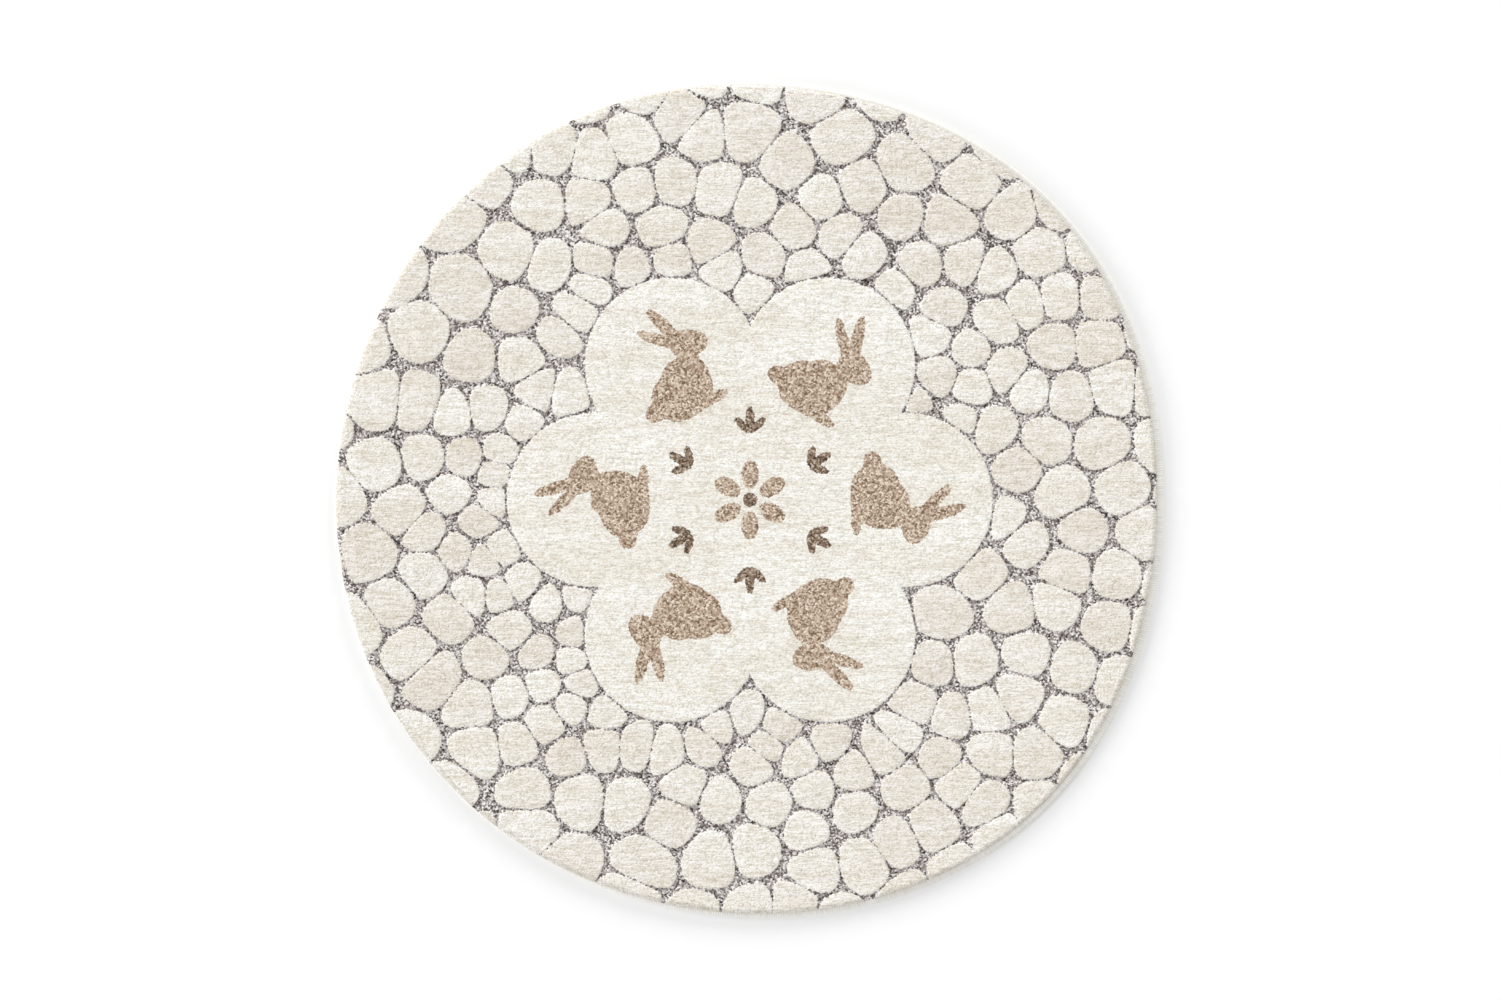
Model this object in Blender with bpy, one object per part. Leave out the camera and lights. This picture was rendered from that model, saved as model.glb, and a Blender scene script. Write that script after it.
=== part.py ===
"""A round rug for a child's room, woven in high and low pile.

The rug lies flat with its underside at z = 0 and its centre on the z axis. Cream pebbles and one scalloped
centre field stand up from a low ground, and thick overlock thread runs round the cut edge.
Metres, +Z up.
"""
from math import atan2, cos, hypot, pi, radians, sin

import bmesh
import bpy
import numpy as np
from mathutils import Vector

# ---- the rug ----
RUG_RADIUS = 0.6055        # mean radius, to the outside of the overlock
GROUND_HEIGHT = 0.0085     # backing and low pile
PILE_HEIGHT = 0.0120       # backing and high pile
SHOULDER = 0.0050          # how far a raised edge slopes in before it is level
# The cut edge is not a true circle: waves round it, as (waves in a turn, swell, direction of a crest).
EDGE_WAVES = (
    (2, 0.0035, radians(-70)),
    (3, 0.0032, radians(60)),
    (4, 0.0048, radians(39)),
    (5, 0.0016, radians(-34)),
)
EDGE_STEPS = 96

# ---- the overlock thread round the edge ----
OVERLOCK_WIDTH = 0.0070
OVERLOCK_HEIGHT = 0.0068
OVERLOCK_STEPS = 5         # steps round the outer half of its section
CLEARANCE = 0.0003         # between the thread and the carpet

# ---- the centre field: overlapping round lobes ----
LOBES = 6
LOBE_DISTANCE = 0.225      # from the rug's centre to a lobe's centre
LOBE_RADIUS = 0.125
FIELD_STEPS = 72

# ---- the pebbles ----
PEBBLES = 225              # before the rim cuts some away
PEBBLE_SEED = 20
NEAR_SPACING = 0.066       # between pebble centres beside the field
FAR_SPACING = 0.105        # and at the rim
SETTLING_TURNS = 6
SAMPLE_PITCH = 0.006
OVERRUN = 0.050            # the pattern goes on past the rim, which cuts it
DRIFT = 0.012              # pebbles are drawn out and pushed together this much
DRIFT_LENGTH = 0.20        # from one such place to the next
GROOVE = 0.0045            # ground between two pebbles where they are closest
FIELD_CLEAR = 0.016        # from the field to the nearest pebble's centre, at the least
ROUNDNESS = 7.0            # lower is rounder
LEAST_LEAN = 0.05          # keeps a pebble with nothing beside it from running on for ever
PEBBLE_STEPS = 12
EDGE_LAND = 0.0020         # level ground between a cut pebble and the carpet's edge
SMALLEST_PEBBLE = 0.014    # a cut pebble narrower than this is left out


def edge_outline():
    """Points of the rug's outline, centred on the z axis by its extent."""
    turn = np.arange(EDGE_STEPS) * (2 * pi / EDGE_STEPS)
    reach = np.full(EDGE_STEPS, RUG_RADIUS)
    for waves, swell, crest in EDGE_WAVES:
        reach += swell * np.cos(waves * (turn - crest))
    points = np.stack([reach * np.cos(turn), reach * np.sin(turn)], axis=1)
    return points - (points.max(axis=0) + points.min(axis=0)) / 2


def drawn_in(outline, distance):
    """The same outline, this much nearer to the rug's centre."""
    reach = np.hypot(outline[:, 0], outline[:, 1])
    return outline * (1 - distance / reach)[:, None]


def field_reach(turn):
    """Distance from the rug's centre to the scalloped edge of the field, in the direction turn."""
    spread = 2 * pi / LOBES
    off_axis = (turn + spread / 2) % spread - spread / 2
    across = LOBE_DISTANCE * np.sin(off_axis)
    return LOBE_DISTANCE * np.cos(off_axis) + np.sqrt(LOBE_RADIUS**2 - across**2)


def pebble_centres():
    """Centres of the pebbles, small beside the field and larger towards the rim.

    Scattered points settle to the middle of their share of the ground, as in a paved path. A slow drift then
    draws the pebbles out one way here and another way there.
    """
    limit = RUG_RADIUS + OVERRUN
    ticks = np.arange(-limit, limit, SAMPLE_PITCH)
    ground = np.stack(np.meshgrid(ticks, ticks), axis=-1).reshape(-1, 2)
    reach = np.hypot(ground[:, 0], ground[:, 1])
    edge = field_reach(np.arctan2(ground[:, 1], ground[:, 0])) + GROOVE
    inside = (reach < limit) & (reach > edge)
    ground = ground[inside]
    outward = (reach[inside] - edge[inside]) / (RUG_RADIUS - edge[inside])
    spacing = NEAR_SPACING + (FAR_SPACING - NEAR_SPACING) * outward
    chance = spacing**-2 / np.sum(spacing**-2)
    weight = spacing**-4
    scatter = np.random.default_rng(PEBBLE_SEED)
    centres = ground[scatter.choice(len(ground), PEBBLES, replace=False, p=chance)]
    for _ in range(SETTLING_TURNS):
        apart = ((ground[:, None, :] - centres[None, :, :]) ** 2).sum(axis=2)
        owner = np.argmin(apart, axis=1)
        total = np.bincount(owner, weight, PEBBLES)
        for axis in range(2):
            centres[:, axis] = np.bincount(owner, weight * ground[:, axis], PEBBLES) / total
    centres += DRIFT * np.sin(centres[:, ::-1] * (2 * pi / DRIFT_LENGTH) + (1.0, 2.5))
    reach = np.hypot(centres[:, 0], centres[:, 1])
    return centres[reach > field_reach(np.arctan2(centres[:, 1], centres[:, 0])) + FIELD_CLEAR]


def pebble_sides(centre, centres):
    """The straight lines that a pebble stays within, as unit normals and distances from its centre."""
    to_others = centres - centre
    apart = np.hypot(to_others[:, 0], to_others[:, 1])
    near = (apart > 0) & (apart < 2.5 * FAR_SPACING)
    lobe_turn = np.arange(LOBES) * (2 * pi / LOBES)
    to_lobes = LOBE_DISTANCE * np.stack([np.cos(lobe_turn), np.sin(lobe_turn)], axis=1) - centre
    lobe_apart = np.hypot(to_lobes[:, 0], to_lobes[:, 1])
    normals = np.concatenate([to_others[near] / apart[near, None], to_lobes / lobe_apart[:, None]])
    distances = np.concatenate([(apart[near] - GROOVE) / 2, lobe_apart - LOBE_RADIUS - GROOVE])
    return normals, distances


def pebble_reach(turn, normals, distances):
    """Distance from a pebble's centre to its rounded edge, in the direction turn."""
    lean = np.clip(normals[:, 0] * cos(turn) + normals[:, 1] * sin(turn), LEAST_LEAN, None)
    return np.sum((lean / distances) ** ROUNDNESS) ** (-1 / ROUNDNESS)


def narrowest(outline):
    """The least width of an outline, over twelve directions."""
    turn = np.arange(12) * (pi / 12)
    across = np.array(outline) @ np.stack([np.cos(turn), np.sin(turn)])
    return (across.max(axis=0) - across.min(axis=0)).min()


def pebble_outline(centre, centres, edge):
    """A pebble's outline, cut where the carpet's edge crosses it. Empty where too little of it is left."""
    normals, distances = pebble_sides(centre, centres)
    bm = bmesh.new()
    bmesh.ops.create_circle(bm, cap_ends=True, segments=PEBBLE_STEPS, radius=1.0)
    for vert in bm.verts:
        turn = atan2(vert.co.y, vert.co.x)
        vert.co *= pebble_reach(turn, normals, distances)
    bmesh.ops.translate(bm, verts=bm.verts, vec=(*centre, 0))
    for start, end in zip(edge, np.roll(edge, -1, axis=0)):
        along = Vector((*(end - start), 0)).normalized()
        outward = Vector((along.y, -along.x, 0))
        bmesh.ops.bisect_plane(
            bm,
            geom=bm.verts[:] + bm.edges[:] + bm.faces[:],
            plane_co=Vector((*start, 0)) - outward * EDGE_LAND,
            plane_no=outward,
            clear_outer=True,
        )
    bmesh.ops.remove_doubles(bm, verts=bm.verts, dist=SHOULDER / 2)
    outline = [tuple(loop.vert.co.xy) for face in bm.faces for loop in face.loops]
    bm.free()
    return outline if outline and narrowest(outline) > SMALLEST_PEBBLE else []


def add_loop(bm, outline, height):
    """A closed loop of edges through an outline's points, at one height."""
    verts = [bm.verts.new((x, y, height)) for x, y in outline]
    return [bm.edges.new((verts[i - 1], verts[i])) for i in range(len(verts))]


def add_part(name, bm, colour, roughness):
    """Turn a bmesh into a named object with its own material, in the rug's collection."""
    bmesh.ops.recalc_face_normals(bm, faces=bm.faces)
    mesh = bpy.data.meshes.new(name)
    bm.to_mesh(mesh)
    bm.free()
    mesh.shade_smooth()
    mesh.set_sharp_from_angle(angle=radians(35))
    material = bpy.data.materials.new(name)
    material.use_nodes = True
    shader = material.node_tree.nodes["Principled BSDF"]
    shader.inputs["Base Color"].default_value = (*colour, 1.0)
    shader.inputs["Roughness"].default_value = roughness
    shader.inputs["Metallic"].default_value = 0.0
    mesh.materials.append(material)
    rug.objects.link(bpy.data.objects.new(name, mesh))


def make_pile_carpet(edge):
    """One flat piece of carpet, with the centre field and the pebbles raised in its top face."""
    turn = np.arange(FIELD_STEPS) * (2 * pi / FIELD_STEPS)
    reach = field_reach(turn)
    centres = pebble_centres()
    outlines = [np.stack([reach * np.cos(turn), reach * np.sin(turn)], axis=1)]
    outlines += [pebble_outline(centre, centres, edge) for centre in centres]
    outlines = [outline for outline in outlines if len(outline)]

    bm = bmesh.new()
    rim = add_loop(bm, edge, GROUND_HEIGHT)
    raised = [add_loop(bm, outline, GROUND_HEIGHT) for outline in outlines]
    every_edge = bm.edges[:]
    bmesh.ops.triangle_fill(bm, use_beauty=True, edges=every_edge, normal=(0, 0, 1))
    for outline, loop in zip(outlines, raised):
        top = bmesh.ops.contextual_create(bm, geom=loop)["faces"]
        bmesh.ops.recalc_face_normals(bm, faces=bm.faces)
        bmesh.ops.inset_individual(
            bm,
            faces=top,
            thickness=min(SHOULDER, narrowest(outline) * 0.3),
            depth=PILE_HEIGHT - GROUND_HEIGHT,
            use_even_offset=True,
        )
    sides = bmesh.ops.extrude_edge_only(bm, edges=rim)["geom"]
    low = [item for item in sides if isinstance(item, bmesh.types.BMVert)]
    bmesh.ops.translate(bm, verts=low, vec=(0, 0, -GROUND_HEIGHT))
    bmesh.ops.contextual_create(bm, geom=[item for item in bm.edges if item.is_boundary])
    add_part("pile_carpet", bm, (0.80, 0.77, 0.70), 0.95)


def make_edge_overlock(outline):
    """The thread whipped round the cut edge: flat below, upright inside and half round outside."""
    bulge = OVERLOCK_HEIGHT / 2
    section = [(-OVERLOCK_WIDTH, OVERLOCK_HEIGHT), (-OVERLOCK_WIDTH, 0)]
    for step in range(OVERLOCK_STEPS + 1):
        rise = pi * (step / OVERLOCK_STEPS - 0.5)
        section.append((bulge * (cos(rise) - 1), bulge * (sin(rise) + 1)))
    bm = bmesh.new()
    verts = [bm.verts.new((RUG_RADIUS + x, 0, z)) for x, z in section]
    edges = [bm.edges.new((verts[i - 1], verts[i])) for i in range(len(verts))]
    bmesh.ops.spin(
        bm,
        geom=verts + edges,
        cent=(0, 0, 0),
        axis=(0, 0, 1),
        angle=2 * pi,
        steps=EDGE_STEPS,
        use_merge=True,
    )
    for vert in bm.verts:
        place = outline[round(atan2(vert.co.y, vert.co.x) / (2 * pi / EDGE_STEPS)) % EDGE_STEPS]
        reach = hypot(*place)
        share = (reach + vert.co.xy.length - RUG_RADIUS) / reach
        vert.co.xy = place * share
    add_part("edge_overlock", bm, (0.86, 0.84, 0.79), 0.85)


for existing in list(bpy.data.objects):
    bpy.data.objects.remove(existing, do_unlink=True)
rug = bpy.data.collections.new("round_pebble_rug")
bpy.context.scene.collection.children.link(rug)
rug_outline = edge_outline()
make_pile_carpet(drawn_in(rug_outline, OVERLOCK_WIDTH + CLEARANCE))
make_edge_overlock(rug_outline)
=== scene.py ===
"""A round rug for a child's room: a woven backing, cream and marl cut pile, and an overlocked edge."""
from math import ceil, cos, pi, radians, sin

import bmesh
import bpy
import numpy as np
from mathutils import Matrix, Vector


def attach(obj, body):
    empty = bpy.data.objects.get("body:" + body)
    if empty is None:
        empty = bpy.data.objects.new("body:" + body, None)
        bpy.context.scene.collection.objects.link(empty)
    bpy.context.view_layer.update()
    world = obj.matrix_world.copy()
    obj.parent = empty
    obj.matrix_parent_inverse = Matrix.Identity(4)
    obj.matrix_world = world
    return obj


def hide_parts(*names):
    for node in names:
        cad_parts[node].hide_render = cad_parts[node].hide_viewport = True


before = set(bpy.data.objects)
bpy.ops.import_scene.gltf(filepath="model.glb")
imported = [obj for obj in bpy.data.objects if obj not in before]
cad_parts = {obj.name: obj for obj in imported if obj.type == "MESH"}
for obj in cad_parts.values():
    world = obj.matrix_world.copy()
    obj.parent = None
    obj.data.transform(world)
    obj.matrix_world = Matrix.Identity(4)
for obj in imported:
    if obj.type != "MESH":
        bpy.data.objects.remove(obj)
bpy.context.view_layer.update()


# ---- The woven backing ----
# A flat cloth of jute and cotton, woven together with the pile and hidden under it. The rug is cut round from
# the woven length afterwards, by hand, so its edge waves a little and isn't a true circle.

RUG_RADIUS = 0.6055                 # mean radius, to the outside of the edge thread
EDGE_WAVES = (                      # waves in a turn, swell, direction of a crest
    (2, 0.0035, radians(-70)),
    (3, 0.0032, radians(60)),
    (4, 0.0048, radians(39)),
    (5, 0.0016, radians(-34)),
)
CUT_MARGIN = 0.0073                 # from the outside of the edge thread in to the pile's cut edge
BACKING_TUCK = 0.0050               # how far the backing runs out past the pile, into the edge thread
BACKING_TOP = 0.0019
BACKING_UNDERSIDE = 0.0004
OUTLINE_STEPS = 720


def outline_table():
    """Directions and distances of the rug's outline from the z axis, centred by its extent."""
    turn = np.arange(OUTLINE_STEPS) * (2 * pi / OUTLINE_STEPS)
    reach = np.full(OUTLINE_STEPS, RUG_RADIUS)
    for waves, swell, crest in EDGE_WAVES:
        reach += swell * np.cos(waves * (turn - crest))
    x, y = reach * np.cos(turn), reach * np.sin(turn)
    x -= (x.max() + x.min()) / 2
    y -= (y.max() + y.min()) / 2
    return np.arctan2(y, x), np.hypot(x, y)


OUTLINE_TURNS, OUTLINE_REACHES = outline_table()


def rug_reach(turn):
    """Distance from the rug's centre to its outside, in the direction turn."""
    return np.interp(turn, OUTLINE_TURNS, OUTLINE_REACHES, period=2 * pi)


def carpet_reach(turn):
    """Distance from the rug's centre to the pile's cut edge."""
    return rug_reach(turn) - CUT_MARGIN


def linear(code):
    """A linear colour from an sRGB hex code."""
    parts = [int(code[i:i + 2], 16) / 255 for i in (1, 3, 5)]
    return (*(part / 12.92 if part <= 0.04045 else ((part + 0.055) / 1.055) ** 2.4 for part in parts), 1.0)


def add_node(tree, kind, sockets=None, **settings):
    """Add a node with its settings. A socket is given a value, or another node's output to be linked from."""
    node = tree.nodes.new(kind)
    for name, value in settings.items():
        setattr(node, name, value)
    for name, value in (sockets or {}).items():
        if isinstance(value, bpy.types.NodeSocket):
            tree.links.new(value, node.inputs[name])
        else:
            node.inputs[name].default_value = value
    return node


def new_material(name):
    """An empty node material and its tree, with the place on the piece ready as a socket."""
    material = bpy.data.materials.new(name)
    material.use_nodes = True
    material.node_tree.nodes.clear()
    place = add_node(material.node_tree, "ShaderNodeTexCoord")
    return material, material.node_tree, place.outputs["Object"]


def finish_material(tree, colour, height, bump_depth, **settings):
    """Close a material with its bump and its shader."""
    bump = add_node(tree, "ShaderNodeBump", {"Height": height, "Strength": 1.0, "Distance": bump_depth})
    shader = add_node(
        tree, "ShaderNodeBsdfPrincipled", {"Base Color": colour, "Normal": bump.outputs["Normal"]}
    )
    for name, value in settings.items():
        shader.inputs[name.replace("_", " ")].default_value = value
    add_node(tree, "ShaderNodeOutputMaterial", {"Surface": shader.outputs["BSDF"]})


def dress(mesh, name, material, node):
    """Turn a finished mesh into a piece of the rug, in place of one CAD node."""
    mesh.materials.append(material)
    piece = bpy.data.objects.new(name, mesh)
    bpy.context.scene.collection.objects.link(piece)
    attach(piece, "root")
    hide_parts(node)
    return piece


# Jute weft and cotton warp, plain woven and unbleached: dull straw colour, with a rib every 3 mm.
WEFT_PITCH = 0.0030
WARP_PITCH = 0.0022
TOW_LENGTH = 0.004                  # of the loose ends that dull the threads
WEAVE_RELIEF = 0.0003


def woven_backing_material():
    """Two crossing sets of ribs, dulled by loose tow."""
    material, tree, place = new_material("unbleached jute and cotton weave")
    split = add_node(tree, "ShaderNodeSeparateXYZ", {"Vector": place})
    threads = []
    for axis, pitch in (("Y", WEFT_PITCH), ("X", WARP_PITCH)):
        turns = add_node(
            tree, "ShaderNodeMath", {0: split.outputs[axis], 1: 2 * pi / pitch}, operation="MULTIPLY"
        )
        threads.append(add_node(tree, "ShaderNodeMath", {0: turns.outputs[0]}, operation="SINE"))
    rib = add_node(
        tree, "ShaderNodeMath", {0: threads[0].outputs[0], 1: threads[1].outputs[0]}, operation="MAXIMUM"
    )
    tow = add_node(tree, "ShaderNodeTexNoise", {"Vector": place, "Scale": 1 / TOW_LENGTH, "Detail": 5.0})
    tone = add_node(tree, "ShaderNodeMath", {0: rib.outputs[0], 1: tow.outputs["Fac"]}, operation="ADD")
    colour = add_node(
        tree,
        "ShaderNodeMix",
        {"Factor": tone.outputs[0], "A": linear("#8f8068"), "B": linear("#cdbfa3")},
        data_type="RGBA",
    )
    finish_material(tree, colour.outputs["Result"], tone.outputs[0], WEAVE_RELIEF, Roughness=0.9)
    return material


def make_backing():
    """A disc drawn out to the rug's outline, with its thickness."""
    bm = bmesh.new()
    bmesh.ops.create_circle(bm, cap_ends=True, segments=OUTLINE_STEPS // 2, radius=1.0)
    for vert in bm.verts:
        turn = np.arctan2(vert.co.y, vert.co.x)
        vert.co *= carpet_reach(turn) + BACKING_TUCK
        vert.co.z = BACKING_UNDERSIDE
    raised = bmesh.ops.extrude_face_region(bm, geom=bm.faces[:])["geom"]
    top = [item for item in raised if isinstance(item, bmesh.types.BMVert)]
    bmesh.ops.translate(bm, verts=top, vec=(0, 0, BACKING_TOP - BACKING_UNDERSIDE))
    bmesh.ops.recalc_face_normals(bm, faces=bm.faces)
    mesh = bpy.data.meshes.new("woven_backing")
    bm.to_mesh(mesh)
    bm.free()
    return dress(mesh, "woven_backing", woven_backing_material(), "pile_carpet")


backing = make_backing()


# ---- The plan of the pile ----
# High cream pile stands in one scalloped field and in the pebbles round it, on a ground of low grey marl. The
# pebbles are small beside the field and large at the rim, where the cut edge crosses them.

LOBES = 6
LOBE_DISTANCE = 0.225
LOBE_RADIUS = 0.125
PEBBLES = 225                       # at the start, with those that the field and the cut take away
PEBBLE_SEED = 20
NEAR_SPACING = 0.066                # between the pebbles beside the field
FAR_SPACING = 0.105                 # and between those at the rim
SETTLING_TURNS = 6
SAMPLE_PITCH = 0.006                # between the points that share out the ground among the pebbles
OVERRUN = 0.050                     # how far past the rim pebbles are laid, for the cut to cross
DRIFT = 0.012                       # how far long waves carry a settled pebble
DRIFT_LENGTH = 0.20
DRIFT_PHASES = (1.0, 2.5)
GROOVE = 0.0045                     # low ground between two pebbles
FIELD_CLEAR = 0.016                 # from the field's edge to the nearest pebble's middle
NEIGHBOUR_REACH = 2.5 * FAR_SPACING
ROUNDEST = 4.2                      # a pebble this low is nearly an oval, and more so near the field
SQUAREST = 7.0                      # and one this high shows its straight sides
LEAST_LEAN = 0.05                   # how much a side still counts in directions that never meet it
PEBBLE_PAINTED_LIGHT_DIP = 0.5                    # painted light: how much duller a pebble's middle is than its edge, whose tufts are lightened as if they caught the light
MIDDLE_REACH = 0.018
QUARTERS = 4                        # pieces in which the pebbles are made

PITCH = 0.00187                     # between the points of the pile's surface, a little under one tuft
PLAN_MARGIN = 0.012                 # how far the plan runs out past the rug
HALF_CELLS = ceil((RUG_RADIUS + PLAN_MARGIN) / PITCH)
TICKS = np.arange(-HALF_CELLS, HALF_CELLS + 1) * PITCH
X, Y = np.meshgrid(TICKS, TICKS, indexing="ij")
REACH = np.hypot(X, Y)
TURN = np.arctan2(Y, X)
RIM_DEPTH = carpet_reach(TURN) - REACH


def field_reach(turn):
    """Distance from the rug's centre to the scalloped edge of the field, in the direction turn."""
    spread = 2 * pi / LOBES
    off_axis = (turn + spread / 2) % spread - spread / 2
    across = LOBE_DISTANCE * np.sin(off_axis)
    return LOBE_DISTANCE * np.cos(off_axis) + np.sqrt(LOBE_RADIUS**2 - across**2)


def pebble_centres():
    """Scattered points that settle to the middle of their share of the ground, and then drift a little."""
    limit = RUG_RADIUS + OVERRUN
    ticks = np.arange(-limit, limit, SAMPLE_PITCH)
    ground = np.stack(np.meshgrid(ticks, ticks), axis=-1).reshape(-1, 2)
    reach = np.hypot(ground[:, 0], ground[:, 1])
    edge = field_reach(np.arctan2(ground[:, 1], ground[:, 0])) + GROOVE
    inside = (reach < limit) & (reach > edge)
    ground = ground[inside]
    outward = (reach[inside] - edge[inside]) / (RUG_RADIUS - edge[inside])
    spacing = NEAR_SPACING + (FAR_SPACING - NEAR_SPACING) * outward
    chance = spacing**-2 / np.sum(spacing**-2)
    weight = spacing**-4
    scatter = np.random.default_rng(PEBBLE_SEED)
    centres = ground[scatter.choice(len(ground), PEBBLES, replace=False, p=chance)]
    for _ in range(SETTLING_TURNS):
        apart = ((ground[:, None, :] - centres[None, :, :]) ** 2).sum(axis=2)
        owner = np.argmin(apart, axis=1)
        total = np.bincount(owner, weight, PEBBLES)
        for axis in range(2):
            centres[:, axis] = np.bincount(owner, weight * ground[:, axis], PEBBLES) / total
    centres += DRIFT * np.sin(centres[:, ::-1] * (2 * pi / DRIFT_LENGTH) + DRIFT_PHASES)
    reach = np.hypot(centres[:, 0], centres[:, 1])
    return centres[reach > field_reach(np.arctan2(centres[:, 1], centres[:, 0])) + FIELD_CLEAR]


def lobe_centres():
    """The middles of the field's lobes."""
    turn = np.arange(LOBES) * (2 * pi / LOBES)
    return LOBE_DISTANCE * np.stack([np.cos(turn), np.sin(turn)], axis=1)


def pebble_sides(centre, centres):
    """The straight lines that a pebble stays within, as unit normals and distances from its centre."""
    to_others = centres - centre
    apart = np.hypot(to_others[:, 0], to_others[:, 1])
    near = (apart > 0) & (apart < NEIGHBOUR_REACH)
    to_lobes = lobe_centres() - centre
    lobe_apart = np.hypot(to_lobes[:, 0], to_lobes[:, 1])
    normals = np.concatenate([to_others[near] / apart[near, None], to_lobes / lobe_apart[:, None]])
    distances = np.concatenate([(apart[near] - GROOVE) / 2, lobe_apart - LOBE_RADIUS - GROOVE])
    return normals, distances


def pebble_plan():
    """Three maps: how far inside a pebble's edge each point lies, the pebble's tone, and its quarter."""
    depth = np.full(X.shape, -FAR_SPACING)
    tone = np.zeros(X.shape)
    quarter = np.zeros(X.shape, dtype=int)
    own = np.random.default_rng(PEBBLE_SEED + 1)
    centres = pebble_centres()
    span = int(FAR_SPACING / PITCH)
    for centre in centres:
        own_tone = own.uniform(-1, 1)
        roundness = own.uniform(ROUNDEST, SQUAREST) * np.sqrt(np.hypot(*centre) / RUG_RADIUS)
        own_quarter = int(np.arctan2(centre[1], centre[0]) / (2 * pi / QUARTERS) + QUARTERS) % QUARTERS
        column, row = np.round(centre / PITCH).astype(int) + HALF_CELLS
        block = (slice(max(column - span, 0), column + span), slice(max(row - span, 0), row + span))
        across, up = X[block] - centre[0], Y[block] - centre[1]
        away = np.hypot(across, up) + PITCH / 10
        total = np.zeros(away.shape)
        for (nx, ny), distance in zip(*pebble_sides(centre, centres)):
            lean = np.clip((nx * across + ny * up) / away, LEAST_LEAN, None)
            total += (lean / distance) ** roundness
        inside = total ** (-1 / roundness) - away
        better = inside > depth[block]
        depth[block] = np.where(better, inside, depth[block])
        tone[block] = np.where(better, own_tone, tone[block])
        quarter[block] = np.where(better, own_quarter, quarter[block])
    return depth, tone, quarter


def field_plan():
    """How far inside the field's edge each point lies."""
    depth = LOBE_DISTANCE * cos(pi / LOBES) - REACH
    for centre in lobe_centres():
        depth = np.maximum(depth, LOBE_RADIUS - np.hypot(X - centre[0], Y - centre[1]))
    return depth


PEBBLE_DEPTH, PEBBLE_TONE, PEBBLE_QUARTER = pebble_plan()
FIELD_DEPTH = field_plan()
# Painted light: each pebble is duller in its middle than at its edge, as if its edge tufts caught the light.
PEBBLE_TONE -= PEBBLE_PAINTED_LIGHT_DIP * np.clip(PEBBLE_DEPTH / MIDDLE_REACH, 0, 1)
PEBBLE_TONE[FIELD_DEPTH > PEBBLE_DEPTH] = 1


# ---- The motifs in the field ----
# Beige marl pile in the same height as the cream: a sitting rabbit in each lobe, in plain outline, and a
# flower in the middle. Leaf sprigs between the rabbits and the flower's heart are brown marl.

RABBIT_BASE = 0.146                 # from the rug's centre to the ground under a rabbit
RABBIT_SCALE = 1.12
# part, middle across and up, half width and half height, tilt in degrees
RABBIT_PARTS = (
    ("haunch", -0.014, 0.032, 0.034, 0.031, 0),
    ("back", 0.004, 0.047, 0.027, 0.029, 28),
    ("chest", 0.019, 0.038, 0.018, 0.032, -10),
    ("head", 0.031, 0.084, 0.0225, 0.0185, -16),
    ("nose", 0.045, 0.080, 0.0115, 0.0110, 0),
    ("near ear", 0.016, 0.119, 0.0078, 0.030, 17),
    ("far ear", -0.001, 0.109, 0.0072, 0.027, 42),
    ("tail", -0.051, 0.027, 0.0115, 0.0115, 0),
    ("front foot", 0.030, 0.0065, 0.016, 0.0062, 0),
    ("hind foot", -0.002, 0.0065, 0.030, 0.0068, 0),
)
JOIN_SOFTNESS = 0.0020              # how far the parts of a motif run into each other
PETALS = 6
PETAL_DISTANCE = 0.037
PETAL_HALF_LENGTH = 0.0205
PETAL_HALF_WIDTH = 0.0125
HEART_RADIUS = 0.0105
SPRIG_BASE = 0.098
# half length, half width and lean in degrees of a sprig's leaves
SPRIG_LEAVES = (
    (0.0185, 0.0066, 0),
    (0.0150, 0.0058, -47),
    (0.0150, 0.0058, 47),
)


def turned(x, y, turn):
    """Coordinates along and across a direction."""
    return x * cos(turn) + y * sin(turn), y * cos(turn) - x * sin(turn)


def ellipse_depth(x, y, half_width, half_height):
    """How far inside an ellipse each point lies."""
    scaled = np.hypot(x / half_width, y / half_height) + 1e-6
    slope = np.hypot(x / half_width**2, y / half_height**2) / scaled + 1e-6
    return (1 - scaled) / slope


def rabbit_depth(across, up):
    """How far inside a sitting rabbit each point lies, the rabbit facing along across."""
    total = np.zeros(across.shape)
    for _, middle, height, half_width, half_height, tilt in RABBIT_PARTS:
        x, y = turned(across - middle, up - height, radians(tilt))
        depth = ellipse_depth(x, y, half_width, half_height)
        total += np.exp(np.clip(depth / JOIN_SOFTNESS, -40, 40))
    return JOIN_SOFTNESS * np.log(total + 1e-12)


def motif_plan():
    """How far inside the beige motifs and inside the brown ones each point lies."""
    beige = np.full(X.shape, -LOBE_RADIUS)
    brown = HEART_RADIUS - REACH
    for lobe in range(LOBES):
        turn = lobe * 2 * pi / LOBES
        outward, aside = turned(X, Y, turn)
        scaled = -aside / RABBIT_SCALE, (outward - RABBIT_BASE) / RABBIT_SCALE
        beige = np.maximum(beige, rabbit_depth(*scaled) * RABBIT_SCALE)
        for half_length, half_width, lean in SPRIG_LEAVES:
            outward, aside = turned(X, Y, turn + pi / LOBES)
            along, across = turned(outward - SPRIG_BASE, aside, radians(lean))
            leaf = ellipse_depth(along - half_length, across, half_length, half_width)
            brown = np.maximum(brown, leaf)
    for petal in range(PETALS):
        outward, aside = turned(X, Y, (petal + 0.5) * 2 * pi / PETALS)
        petal_depth = ellipse_depth(outward - PETAL_DISTANCE, aside, PETAL_HALF_LENGTH, PETAL_HALF_WIDTH)
        beige = np.maximum(beige, petal_depth)
    return beige, brown


BEIGE_DEPTH, BROWN_DEPTH = motif_plan()


# ---- The pile ----
# Heat-set acrylic tufts, cut level and then carved along every pebble, so that the cream pile swells over
# the low ground. Near the rim it leans to the left, over the edge thread there and off it at the right.

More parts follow.
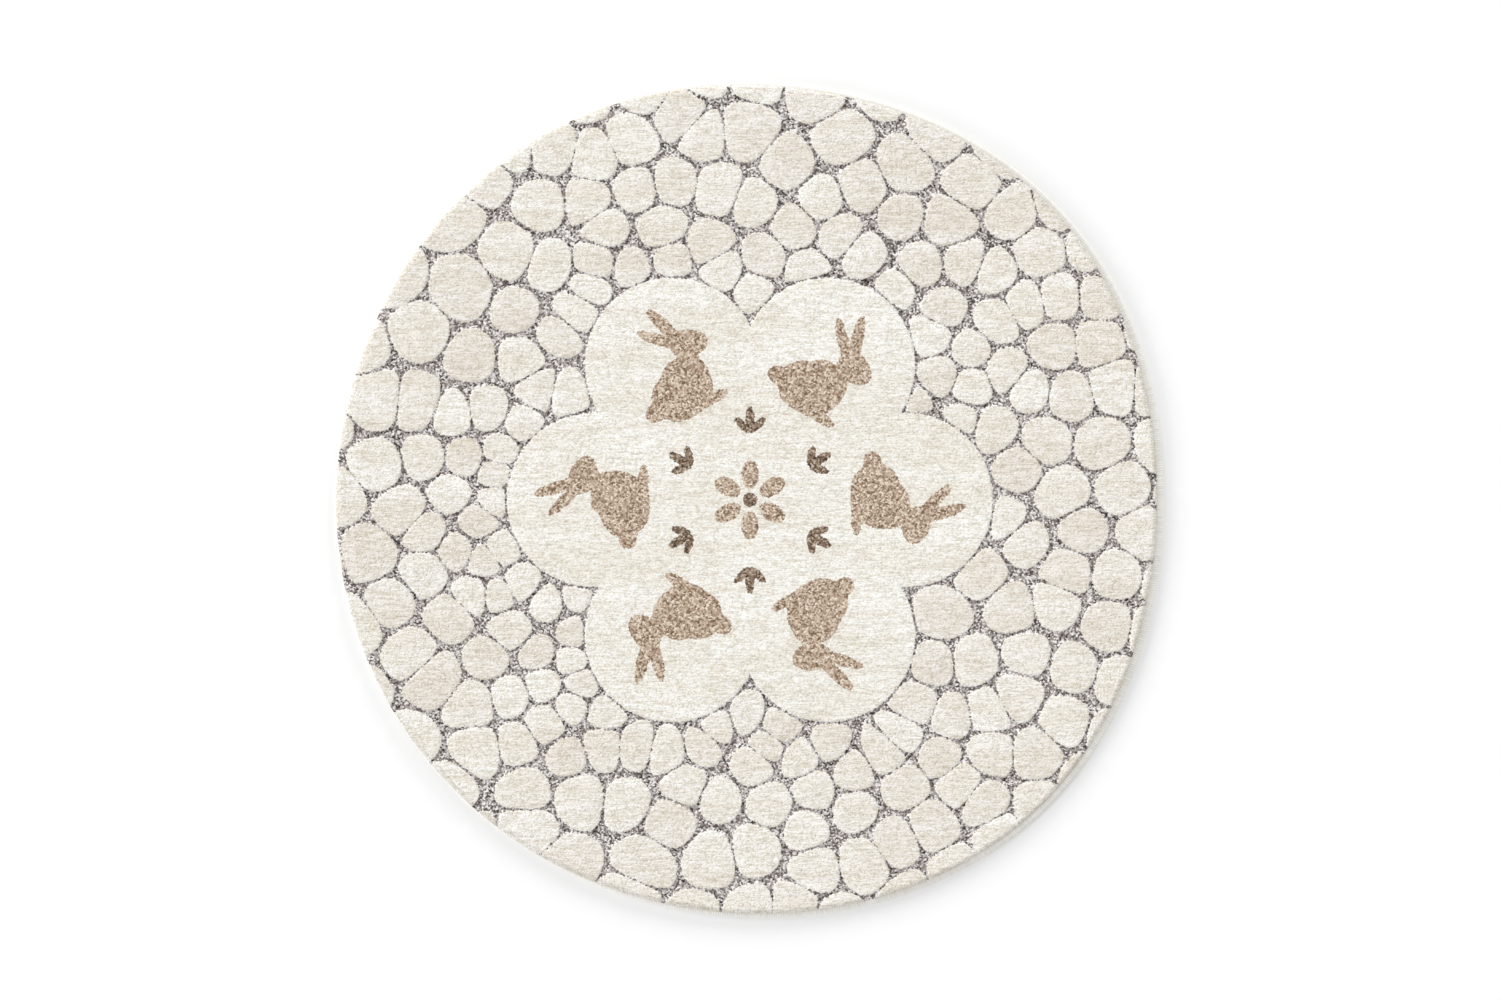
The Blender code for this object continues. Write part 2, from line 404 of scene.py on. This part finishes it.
GROUND_TOP = 0.0093                 # above the floor
PILE_TOP = 0.0119
SHOULDER = 0.0034                   # from the ground beside a carved edge to where the pile is level
LEANING = 0.0017                    # of it, which the marl tufts that lean on the edge take up
BULGE = 0.0017                      # how far a pebble's tufts spread over the ground
FIELD_BULGE = 0.0008                # and how far the field's do
SWELL = 0.0006                      # how much a pebble's middle stands above its shoulder
SWELL_REACH = 0.020
WAVER = 0.0005                      # how far a carved edge strays from its smooth line
WAVER_LENGTH = 0.016
RAGGED = 0.0006                     # how unevenly single tufts stand along a carved edge
RIM_ROLL = 0.0055                   # how far in from the cut edge the pile starts to turn down
RIM_SPREAD = 0.0018                 # how far out past the cut edge its tufts spread
RIM_LOW = 0.0064                    # above the floor, where they end on the edge thread
RIM_LEAN = Vector((-0.0052, 0.0008))
LEAN_REACH = 0.035                  # how far in from the cut edge the pile still leans
RIPPLE_DEPTH = 0.0006
WANDER = 0.012                      # how far a ripple strays on its way across the rug
WANDER_LENGTH = 0.045
# length, width, turn, and the way it wanders
RIPPLES = (
    (0.0150, 0.0046, radians(8), 1),
    (0.0080, 0.0036, radians(-24), -1),
)
TUFT_UNEVEN = 0.00024               # how much shorter a tuft may be than its neighbours
TUFT_JITTER = 0.0005                # how far one stands from its place in the weave
PILE_SEED = 7


def soft_noise(x, y, length, width, seed):
    """Smooth swells between -1 and 1, each about length by width."""
    cells = 1024
    table = np.random.default_rng(seed).uniform(-1, 1, (cells, cells))
    u, v = x / length, y / width
    left, low = np.floor(u).astype(int), np.floor(v).astype(int)
    u, v = u - left, v - low
    u, v = u * u * (3 - 2 * u), v * v * (3 - 2 * v)
    left, low = left % cells, low % cells
    right, high = (left + 1) % cells, (low + 1) % cells
    lower = table[left, low] * (1 - u) + table[right, low] * u
    upper = table[left, high] * (1 - u) + table[right, high] * u
    return lower * (1 - v) + upper * v


def rounded(depth, width):
    """A quarter-round rise from 0 at depth 0 to 1 at the width."""
    share = np.clip(depth / width, 0, 1)
    return np.sqrt(1 - (1 - share) ** 2)


def cream_plan():
    """How far inside the cream pile each point lies, along edges that waver as hand carving does."""
    waver = soft_noise(X, Y, WAVER_LENGTH, WAVER_LENGTH, PILE_SEED + 5)
    return np.maximum(PEBBLE_DEPTH + BULGE, FIELD_DEPTH + FIELD_BULGE) + WAVER * waver


def ripples():
    """The short soft waves of cut pile, mostly across the rug, which wander from place to place."""
    wander = soft_noise(X, Y, WANDER_LENGTH, WANDER_LENGTH, PILE_SEED) * WANDER
    total = np.zeros(X.shape)
    for seed, (length, width, turn, way) in enumerate(RIPPLES, start=PILE_SEED + 1):
        along, across = turned(X + way * wander, Y + wander, turn)
        total += soft_noise(along, across, length, width, seed)
    return total / len(RIPPLES)


def pile_surface():
    """Every point of the pile's surface, as three arrays over the plan."""
    random = np.random.default_rng(PILE_SEED)
    cream = CREAM_DEPTH + random.uniform(-RAGGED, RAGGED, X.shape)
    middle = 1 - np.exp(-np.clip(cream, 0, None) / SWELL_REACH)
    z = GROUND_TOP + (PILE_TOP - SWELL - GROUND_TOP) * rounded(cream + LEANING, SHOULDER) + SWELL * middle
    z -= RIPPLE_DEPTH * (1 - ripples()) / 2
    z -= TUFT_UNEVEN * random.uniform(0, 1, X.shape)
    jitter_x, jitter_y = random.uniform(-TUFT_JITTER, TUFT_JITTER, (2, *X.shape))
    at_rim = np.clip(1 - RIM_DEPTH / RIM_ROLL, 0, 1)
    z = RIM_LOW + (z - RIM_LOW) * np.cos(pi / 2 * at_rim)
    spread = (RIM_ROLL + RIM_SPREAD) * np.sin(pi / 2 * at_rim) - RIM_ROLL * at_rim
    lean = np.clip(1 - RIM_DEPTH / LEAN_REACH, 0, 1) ** 2
    free = at_rim < 1
    x = X + jitter_x * free + RIM_LEAN.x * lean + spread * np.cos(TURN)
    y = Y + jitter_y * free + RIM_LEAN.y * lean + spread * np.sin(TURN)
    return x, y, z


CREAM_DEPTH = cream_plan()
PILE_X, PILE_Y, PILE_Z = pile_surface()

# The yarns, as a cut tuft shows them: the share of the tufts and their colours, from dark to light.
CREAM_YARN = ((0.0, "#e3ded5"), (0.45, "#f8f5ee"), (1.0, "#ffffff"))
GREY_YARN = ((0.0, "#261e1d"), (0.3, "#8c827e"), (0.6, "#bfb7b3"), (0.8, "#efe9e6"), (1.0, "#ffffff"))
BEIGE_YARN = ((0.0, "#6b543f"), (0.3, "#a68e78"), (0.65, "#c7b49f"), (1.0, "#efe2d2"))
BROWN_YARN = ((0.0, "#3a2b22"), (0.4, "#75614f"), (0.75, "#9a8672"), (1.0, "#d3c3b1"))
TUFT = 0.0023
TUFT_SIDE = (0.25, 0.85)            # where a tuft's side starts and ends, in tufts from its middle
CREAM_TUFT_PAINTED_SHADE = (1.06, 0.95)     # painted light and shade there, of a cream tuft: its middle lighter, its sides darker as between tufts in shade
# painted shade at the sides of a marl tuft, as between tufts
MARL_TUFT_PAINTED_SHADE = (1.0, 0.80)
FIBRE = 0.0010                      # across a wisp of fibres; single ones are too fine to show
FIBRE_LENGTH = 0.0060               # upright, as they stand
FIBRE_SIDE = (0.3, 0.7)             # from a wisp's dark side to its light one, in the noise's own values
FIBRE_TONES = (0.93, 1.13)
FRAY = 0.0022                       # how far a tuft spreads among its neighbours
RAGGED_EDGE = 0.0009                # how far a tuft of one yarn stands over into the next
EDGE_BLUR = 0.0002
# length, width, turn and detail of the long fine ripples, and of the short ones among them
FINE_RIPPLES = (
    (0.0210, 0.0025, radians(5), 0.5),
    (0.0105, 0.0020, radians(-12), 0.0),
)
SHORT_SHARE = 0.35
RIPPLE_SIDE = (0.36, 0.56)          # from a ripple's hollow up to its crown, in the noise's own values
RIPPLE_RELIEF = 0.4                 # of a tuft's own
BAND_LENGTH = 0.40                  # of the faint bands that the loom leaves across the rug
BAND_WIDTH = 0.045
BAND_SIDE = (0.35, 0.65)
TONE_RANGE = (-1.5, 1.0)            # of the pebbles' own tones, with the painted-light dip in their middles
DULLEST_PEBBLE = "#f4f1ef"          # what the cream is multiplied by, at the most
DULLEST_BAND = "#f7f5f1"
# painted shade in the ripples' hollows, where the gaps between rows of tufts lie in shade
RIPPLE_PAINTED_SHADE = "#ece9e2"
CUT_EDGE_PAINTED_SHADE = 0.80                    # painted shade on the cream near the cut edge, where the bared tufts' sides stand in shade
CUT_REACH = 0.0065
BURIED_PAINTED_SHADE = 0.88                 # painted shade on the marl tufts beside the high pile, in the grooves where shade falls
BURIED_REACH = 0.0020
PILE_RELIEF = 0.0008


def pile_material():
    """Heat-set acrylic yarn, cut: matt and soft, with a light bloom of loose fibre at a low angle."""
    material, tree, place = new_material("heat-set acrylic cut pile")

    def waves(length, width, turn, detail):
        """Soft uneven waves of a length and a width, along a direction."""
        stretched = add_node(
            tree,
            "ShaderNodeMapping",
            {"Vector": place, "Rotation": (0, 0, turn), "Scale": (1 / length, 1 / width, 1 / width)},
        )
        noise = add_node(
            tree,
            "ShaderNodeTexNoise",
            {"Vector": stretched.outputs["Vector"], "Scale": 1.0, "Detail": detail, "Distortion": 0.9},
        )
        return noise.outputs["Fac"]

    def yarn(stops):
        """A colour of its own for each tuft, picked from the yarn's."""
        picked = add_node(tree, "ShaderNodeValToRGB", {"Fac": chance.outputs["Red"]})
        for position, _ in stops[1:-1]:
            picked.color_ramp.elements.new(position)
        for element, (position, code) in zip(picked.color_ramp.elements, stops):
            element.position = position
            element.color = linear(code)
        return picked.outputs["Color"]

    def toned(colour, value, span, tones):
        """The colour times a tone, which goes from the first to the second over the value's span."""
        (start, stop), (first, second) = span, tones
        tone = add_node(
            tree,
            "ShaderNodeMapRange",
            {"Value": value, "From Min": start, "From Max": stop, "To Min": first, "To Max": second},
        )
        product = add_node(
            tree,
            "ShaderNodeMix",
            {"Factor": 1.0, "A": colour, "B": tone.outputs["Result"]},
            data_type="RGBA",
            blend_type="MULTIPLY",
        )
        return product.outputs["Result"]

    def dulled(colour, value, span, dullest):
        """The colour times its dullest tint where the value's span starts, and its own where it ends."""
        start, stop = span
        share = add_node(
            tree,
            "ShaderNodeMapRange",
            {"Value": value, "From Min": start, "From Max": stop, "To Min": 1.0, "To Max": 0.0},
        )
        product = add_node(
            tree,
            "ShaderNodeMix",
            {"Factor": share.outputs["Result"], "A": colour, "B": linear(dullest)},
            data_type="RGBA",
            blend_type="MULTIPLY",
        )
        return product.outputs["Result"]

    def laid_over(below, above, plan_name):
        """One yarn over another as far as its plan goes, and each tuft a little less or more."""
        depth = add_node(tree, "ShaderNodeAttribute", attribute_name=plan_name)
        edge = add_node(
            tree,
            "ShaderNodeMath",
            {0: depth.outputs["Fac"], 1: over_edge.outputs["Result"]},
            operation="ADD",
        )
        share = add_node(
            tree,
            "ShaderNodeMapRange",
            {"Value": edge.outputs[0], "From Min": -EDGE_BLUR, "From Max": EDGE_BLUR},
        )
        both = add_node(
            tree,
            "ShaderNodeMix",
            {"Factor": share.outputs["Result"], "A": below, "B": above},
            data_type="RGBA",
        )
        return both.outputs["Result"]

    wisps = add_node(
        tree,
        "ShaderNodeMapping",
        {"Vector": place, "Scale": (1 / FIBRE, 1 / FIBRE, 1 / FIBRE_LENGTH)},
    )
    fibre = add_node(
        tree,
        "ShaderNodeTexNoise",
        {"Vector": wisps.outputs["Vector"], "Scale": 1.0, "Detail": 2.0, "Distortion": 0.5},
    )
    frayed = add_node(
        tree,
        "ShaderNodeVectorMath",
        {0: fibre.outputs["Color"], 1: (FRAY, FRAY, FRAY), 2: place},
        operation="MULTIPLY_ADD",
    )
    tuft = add_node(
        tree,
        "ShaderNodeTexVoronoi",
        {"Vector": frayed.outputs["Vector"], "Scale": 1 / TUFT, "Smoothness": 0.3},
        voronoi_dimensions="2D",
        feature="SMOOTH_F1",
    )
    chance = add_node(tree, "ShaderNodeSeparateColor", {"Color": tuft.outputs["Color"]})
    over_edge = add_node(
        tree,
        "ShaderNodeMapRange",
        {"Value": chance.outputs["Blue"], "To Min": -RAGGED_EDGE, "To Max": RAGGED_EDGE},
    )
    long_ripples, short_ripples = (waves(*ripple_row) for ripple_row in FINE_RIPPLES)
    ripple = add_node(
        tree, "ShaderNodeMix", {"Factor": SHORT_SHARE, "A": long_ripples, "B": short_ripples}
    )
    band = waves(BAND_LENGTH, BAND_WIDTH, 0.0, 1.0)
    from_middle = tuft.outputs["Distance"]
    pebble_tone, cream_depth, rim_depth = (
        add_node(tree, "ShaderNodeAttribute", attribute_name=plan_name).outputs["Fac"]
        for plan_name in ("pebble_tone", "cream_depth", "rim_depth")
    )

    # the pebbles' own tones, with the painted light at their edges
    cream = dulled(yarn(CREAM_YARN), pebble_tone, TONE_RANGE, DULLEST_PEBBLE)
    cream = dulled(cream, band, BAND_SIDE, DULLEST_BAND)
    # painted shade in the hollows of the ripples
    cream = dulled(cream, ripple.outputs["Result"], RIPPLE_SIDE, RIPPLE_PAINTED_SHADE)
    # painted shade: the cream grows darker towards the cut edge, where the tufts' sides stand in shade
    cream = toned(cream, rim_depth, (0.0, CUT_REACH), (CUT_EDGE_PAINTED_SHADE, 1.0))
    # painted shade between tufts: each tuft is lighter in its middle and darker at its sides
    cream = toned(cream, from_middle, TUFT_SIDE, CREAM_TUFT_PAINTED_SHADE)
    ground = toned(yarn(GREY_YARN), from_middle, TUFT_SIDE, MARL_TUFT_PAINTED_SHADE)
    # painted shade: the marl is darker in the grooves next to the cream pile
    ground = toned(ground, cream_depth, (-BURIED_REACH, 0.0), (1.0, BURIED_PAINTED_SHADE))
    colour = laid_over(ground, cream, "cream_depth")
    colour = laid_over(colour, yarn(BEIGE_YARN), "beige_depth")
    colour = laid_over(colour, yarn(BROWN_YARN), "brown_depth")
    colour = toned(colour, fibre.outputs["Fac"], FIBRE_SIDE, FIBRE_TONES)

    standing = add_node(
        tree, "ShaderNodeMath", {0: fibre.outputs["Fac"], 1: from_middle}, operation="SUBTRACT"
    )
    swell = add_node(
        tree,
        "ShaderNodeMapRange",
        {
            "Value": ripple.outputs["Result"],
            "From Min": RIPPLE_SIDE[0],
            "From Max": RIPPLE_SIDE[1],
            "To Max": RIPPLE_RELIEF,
        },
    )
    relief = add_node(
        tree, "ShaderNodeMath", {0: standing.outputs[0], 1: swell.outputs["Result"]}, operation="ADD"
    )
    finish_material(
        tree,
        colour,
        relief.outputs[0],
        PILE_RELIEF,
        Roughness=0.95,
        Sheen_Weight=0.12,
        Sheen_Roughness=0.6,
        Specular_IOR_Level=0.15,
    )
    return material


PILE_MATERIAL = pile_material()
MAP_MARGIN = 0.01                   # of the bake's map, round the top
MAP_SHARE = 0.90                    # of it, for the top
HIDDEN_CORNER = 0.955               # where the hidden faces lie in it
HIDDEN_SCALE = 0.03
SKIRT_MARK = -1.0                   # the height that marks a skirt's foot before it has its place


def places_of(mesh):
    """A mesh's points, as three arrays."""
    places = np.empty(len(mesh.vertices) * 3)
    mesh.vertices.foreach_get("co", places)
    return places.reshape(-1, 3).T


def set_places(mesh, x, y, z):
    """Move a mesh's points, given as three arrays."""
    mesh.vertices.foreach_set("co", np.stack([x, y, z], axis=1).ravel())
    mesh.update()


def pile_cells(owned):
    """The owned cells with a skirt and a base, still measured in cells, their lowest cell and longer side."""
    low = np.argwhere(owned).min(axis=0)
    size = np.argwhere(owned).max(axis=0) + 1 - low
    bm = bmesh.new()
    bmesh.ops.create_grid(bm, x_segments=int(size[0]), y_segments=int(size[1]), size=0.5)
    bmesh.ops.scale(bm, vec=(*size, 1), verts=bm.verts)
    bmesh.ops.translate(bm, vec=(*(low + size / 2), 0), verts=bm.verts)
    middles = np.array([face.calc_center_median().xy for face in bm.faces])
    column, row = np.floor(middles).astype(int).T
    gone = [face for face, kept in zip(bm.faces[:], owned[column, row]) if not kept]
    bmesh.ops.delete(bm, geom=gone, context="FACES")
    rim = [edge for edge in bm.edges if edge.is_boundary]
    for edge in rim:
        edge.smooth = False
    skirt = bmesh.ops.extrude_edge_only(bm, edges=rim)["geom"]
    feet = [item for item in skirt if isinstance(item, bmesh.types.BMVert)]
    bmesh.ops.translate(bm, verts=feet, vec=(0, 0, SKIRT_MARK))
    bmesh.ops.contextual_create(bm, geom=[edge for edge in bm.edges if edge.is_boundary])
    bmesh.ops.recalc_face_normals(bm, faces=bm.faces)
    for face in bm.faces:
        face.smooth = True
    return bm, low, max(size)


def pile_piece(name, owned):
    """The pile over the owned cells, as a finished piece of the rug."""
    bm, low, size = pile_cells(owned)
    mesh = bpy.data.meshes.new(name)
    bm.to_mesh(mesh)
    bm.free()
    column, row, mark = places_of(mesh)
    is_foot = mark < SKIRT_MARK / 2
    corners = np.empty(len(mesh.loops), dtype=np.int32)
    mesh.loops.foreach_get("vertex_index", corners)
    starts = np.empty(len(mesh.polygons), dtype=np.int32)
    mesh.polygons.foreach_get("loop_start", starts)
    face_sizes = np.diff(np.append(starts, len(corners)))
    hidden = np.repeat(np.logical_or.reduceat(is_foot[corners], starts), face_sizes)

    place = np.round(column).astype(int), np.round(row).astype(int)
    x, y, z = PILE_X[place], PILE_Y[place], PILE_Z[place]
    turn = TURN[place]
    reach = carpet_reach(turn)
    at_edge = np.zeros(len(x), dtype=bool)
    at_edge[corners[hidden]] = True
    on_cut = at_edge & (RIM_DEPTH[place] < PITCH)
    lip = on_cut & ~is_foot
    x[lip] = (reach[lip] + RIM_SPREAD) * np.cos(turn[lip]) + RIM_LEAN.x
    y[lip] = (reach[lip] + RIM_SPREAD) * np.sin(turn[lip]) + RIM_LEAN.y
    z[lip] = RIM_LOW
    foot = on_cut & is_foot
    x[foot] = reach[foot] * np.cos(turn[foot])
    y[foot] = reach[foot] * np.sin(turn[foot])
    z[is_foot] = BACKING_TOP
    set_places(mesh, x, y, z)

    for layer, plan in {
        "cream_depth": CREAM_DEPTH,
        "beige_depth": BEIGE_DEPTH,
        "brown_depth": BROWN_DEPTH,
        "rim_depth": RIM_DEPTH,
        "pebble_tone": PEBBLE_TONE,
    }.items():
        mesh.attributes.new(layer, "FLOAT", "POINT").data.foreach_set("value", plan[place])
    top_u = (column[corners] - low[0]) / size * MAP_SHARE + MAP_MARGIN
    top_v = (row[corners] - low[1]) / size * MAP_SHARE + MAP_MARGIN
    u = np.where(hidden, x[corners] * HIDDEN_SCALE + HIDDEN_CORNER, top_u)
    v = np.where(hidden, y[corners] * HIDDEN_SCALE + HIDDEN_CORNER, top_v)
    mesh.uv_layers.new(name="OFBake").data.foreach_set("uv", np.stack([u, v], axis=1).ravel())
    return dress(mesh, name, PILE_MATERIAL, "pile_carpet")


# Each piece ends in the middle of the low ground, where the joint between two of them doesn't show.
cell_turn = np.arctan2(Y + PITCH / 2, X + PITCH / 2)
in_rug = np.hypot(X + PITCH / 2, Y + PITCH / 2) < carpet_reach(cell_turn)
in_field = FIELD_DEPTH > PEBBLE_DEPTH
pile = [pile_piece("centre_field_pile", in_rug & in_field)]
for quarter in range(QUARTERS):
    owned = in_rug & ~in_field & (PEBBLE_QUARTER == quarter)
    pile.append(pile_piece(f"pebble_pile_{quarter + 1}", owned))


# ---- The overlocked edge ----
# Soft off-white polyester thread, whipped close round the cut edge by machine, so that it makes a band of
# fine slanting stitches over the edge and under it.

WHIP_WIDTH = 0.0132                 # over the solid's, because it grips the first tufts
WHIP_HEIGHT = 0.0067
STITCH_PITCH = 0.0034
STITCHES = round(2 * pi * RUG_RADIUS / STITCH_PITCH)
STEPS_IN_STITCH = 5
SECTION_STEPS = 13
SQUARENESS = 0.72                   # of the band's section: 1 is an ellipse, and near 0 a box
STITCH_RELIEF = 0.00060
STITCH_SLANT = 0.35                 # in stitches, from the band's middle to its edge
STITCH_ROUNDNESS = 0.6              # of a stitch's crown: 1 is a sine's, and near 0 a box's
LOWEST_CROWN = 0.6                  # of a stitch that is drawn tight, against a full one's
BETWEEN_STITCH_PAINTED_SHADE = 0.72                 # painted shade on the thread between two stitches, where the grooves lie in shade
FULL_TONE_CROWN = 0.8               # how far up a crown the painted shade between stitches fades out to the thread's full tone
FUZZ = 0.0012                       # of the thread's hairs, coarser than real ones so that it shows
FUZZ_RELIEF = 0.0003
SAME_POINT = 0.00001                # points of the joined strip that lie nearer than this are one


def thread_material():
    """Spun polyester thread: off-white, matt, with a soft fuzz."""
    material, tree, place = new_material("off-white spun polyester thread")
    fuzz = add_node(tree, "ShaderNodeTexNoise", {"Vector": place, "Scale": 1 / FUZZ, "Detail": 3.0})
    tone = add_node(
        tree,
        "ShaderNodeMix",
        {"Factor": fuzz.outputs["Fac"], "A": linear("#e5e1d8"), "B": linear("#fcfaf5")},
        data_type="RGBA",
    )
    # painted shade: the thread is darker in the grooves between stitches
    crown = add_node(tree, "ShaderNodeAttribute", attribute_name="stitch_crown")
    between = add_node(
        tree,
        "ShaderNodeMapRange",
        {"Value": crown.outputs["Fac"], "From Max": FULL_TONE_CROWN, "To Min": BETWEEN_STITCH_PAINTED_SHADE},
    )
    colour = add_node(
        tree,
        "ShaderNodeMix",
        {"Factor": 1.0, "A": tone.outputs["Result"], "B": between.outputs["Result"]},
        data_type="RGBA",
        blend_type="MULTIPLY",
    )
    finish_material(
        tree,
        colour.outputs["Result"],
        fuzz.outputs["Fac"],
        FUZZ_RELIEF,
        Roughness=0.85,
        Sheen_Weight=0.1,
        Specular_IOR_Level=0.2,
    )
    return material


def whipped_band(along, rise):
    """The band's surface and its crowns, along in stitches and rise in radians round its section."""
    half_width, half_height = WHIP_WIDTH / 2, WHIP_HEIGHT / 2
    across = half_width * np.sign(np.cos(rise)) * np.abs(np.cos(rise)) ** SQUARENESS
    up = half_height * np.sign(np.sin(rise)) * np.abs(np.sin(rise)) ** SQUARENESS
    count = along + STITCH_SLANT * np.sin(rise)
    uneven = np.random.default_rng(PILE_SEED + 9).uniform(LOWEST_CROWN, 1.0, STITCHES)
    crown = np.abs(np.sin(pi * count)) ** STITCH_ROUNDNESS
    crown *= uneven[np.floor(count).astype(int) % STITCHES]
    sink = STITCH_RELIEF * (1 - crown)
    turn = 2 * pi * along / STITCHES
    reach = rug_reach(turn) - half_width + across - sink * np.cos(rise)
    height = half_height + up - sink * np.sin(rise)
    return reach * np.cos(turn), reach * np.sin(turn), np.maximum(height, 0), crown


def make_overlock():
    """A strip rolled up into a tube, whose ends and sides are then joined."""
    bm = bmesh.new()
    bmesh.ops.create_grid(bm, x_segments=STITCHES * STEPS_IN_STITCH, y_segments=SECTION_STEPS, size=0.5)
    mesh = bpy.data.meshes.new("edge_overlock_thread")
    bm.to_mesh(mesh)
    x, y, _ = places_of(mesh)
    *places, crown = whipped_band((x + 0.5) * STITCHES, (0.5 - y) * 2 * pi)
    set_places(mesh, *places)
    mesh.attributes.new("stitch_crown", "FLOAT", "POINT").data.foreach_set("value", crown)
    bm.clear()
    bm.from_mesh(mesh)
    bmesh.ops.remove_doubles(bm, verts=bm.verts, dist=SAME_POINT)
    bmesh.ops.recalc_face_normals(bm, faces=bm.faces)
    bm.to_mesh(mesh)
    bm.free()
    mesh.shade_smooth()
    return dress(mesh, "edge_overlock_thread", thread_material(), "edge_overlock")


overlock = make_overlock()


# ---- Floor, light and camera ----
# A plain white floor under an even white dome, with a bank of soft lights low along the top and the left.
# The camera looks straight down.

FRAME_WIDTH = 2.1635                # metres of floor across the picture
LENS = 50.0
SENSOR = 36.0
DOME_STRENGTH = 0.73
KEY_STRENGTH = 1.25
KEY_RISE = radians(13)              # above the floor
KEY_SPREAD = radians(16)            # how wide each light looks from the rug
KEY_TURNS = [radians(turn) for turn in (60, 110, 160, 210)]     # from +X towards +Y
FLOOR_HALF_WIDTH = 40.0             # wide enough that no view shows its edge
FLOOR_PATCHES = 3.0                 # in a metre, of barely different white


def make_floor():
    """White painted board: matt, in patches that hardly differ."""
    bm = bmesh.new()
    bmesh.ops.create_grid(bm, x_segments=1, y_segments=1, size=FLOOR_HALF_WIDTH)
    mesh = bpy.data.meshes.new("studio_floor")
    bm.to_mesh(mesh)
    bm.free()
    material, tree, place = new_material("white studio floor")
    patches = add_node(tree, "ShaderNodeTexNoise", {"Vector": place, "Scale": FLOOR_PATCHES})
    tone = add_node(
        tree,
        "ShaderNodeMix",
        {"Factor": patches.outputs["Fac"], "A": linear("#f7f7f7"), "B": linear("#f9f9f9")},
        data_type="RGBA",
    )
    finish_material(tree, tone.outputs["Result"], patches.outputs["Fac"], 0.0, Roughness=0.8)
    mesh.materials.append(material)
    floor = bpy.data.objects.new("studio_floor", mesh)
    bpy.context.scene.collection.objects.link(floor)


def make_light():
    world = bpy.data.worlds.new("studio_dome")
    world.use_nodes = True
    background = world.node_tree.nodes["Background"]
    background.inputs["Color"].default_value = (1, 1, 1, 1)
    background.inputs["Strength"].default_value = DOME_STRENGTH
    bpy.context.scene.world = world
    for turn in KEY_TURNS:
        key = bpy.data.lights.new("key", "SUN")
        key.energy = KEY_STRENGTH
        key.angle = KEY_SPREAD
        lamp = bpy.data.objects.new("key", key)
        towards = Vector((cos(KEY_RISE) * cos(turn), cos(KEY_RISE) * sin(turn), sin(KEY_RISE)))
        lamp.location = towards
        lamp.rotation_euler = (-towards).to_track_quat("-Z", "Y").to_euler()
        bpy.context.scene.collection.objects.link(lamp)


def make_camera():
    camera = bpy.data.cameras.new("camera")
    camera.lens = LENS
    camera.sensor_width = SENSOR
    holder = bpy.data.objects.new("camera", camera)
    holder.location = (0, 0, FRAME_WIDTH * LENS / SENSOR + PILE_TOP)
    bpy.context.scene.collection.objects.link(holder)
    bpy.context.scene.camera = holder


make_floor()
make_light()
make_camera()
bpy.context.scene.view_settings.view_transform = "Standard"
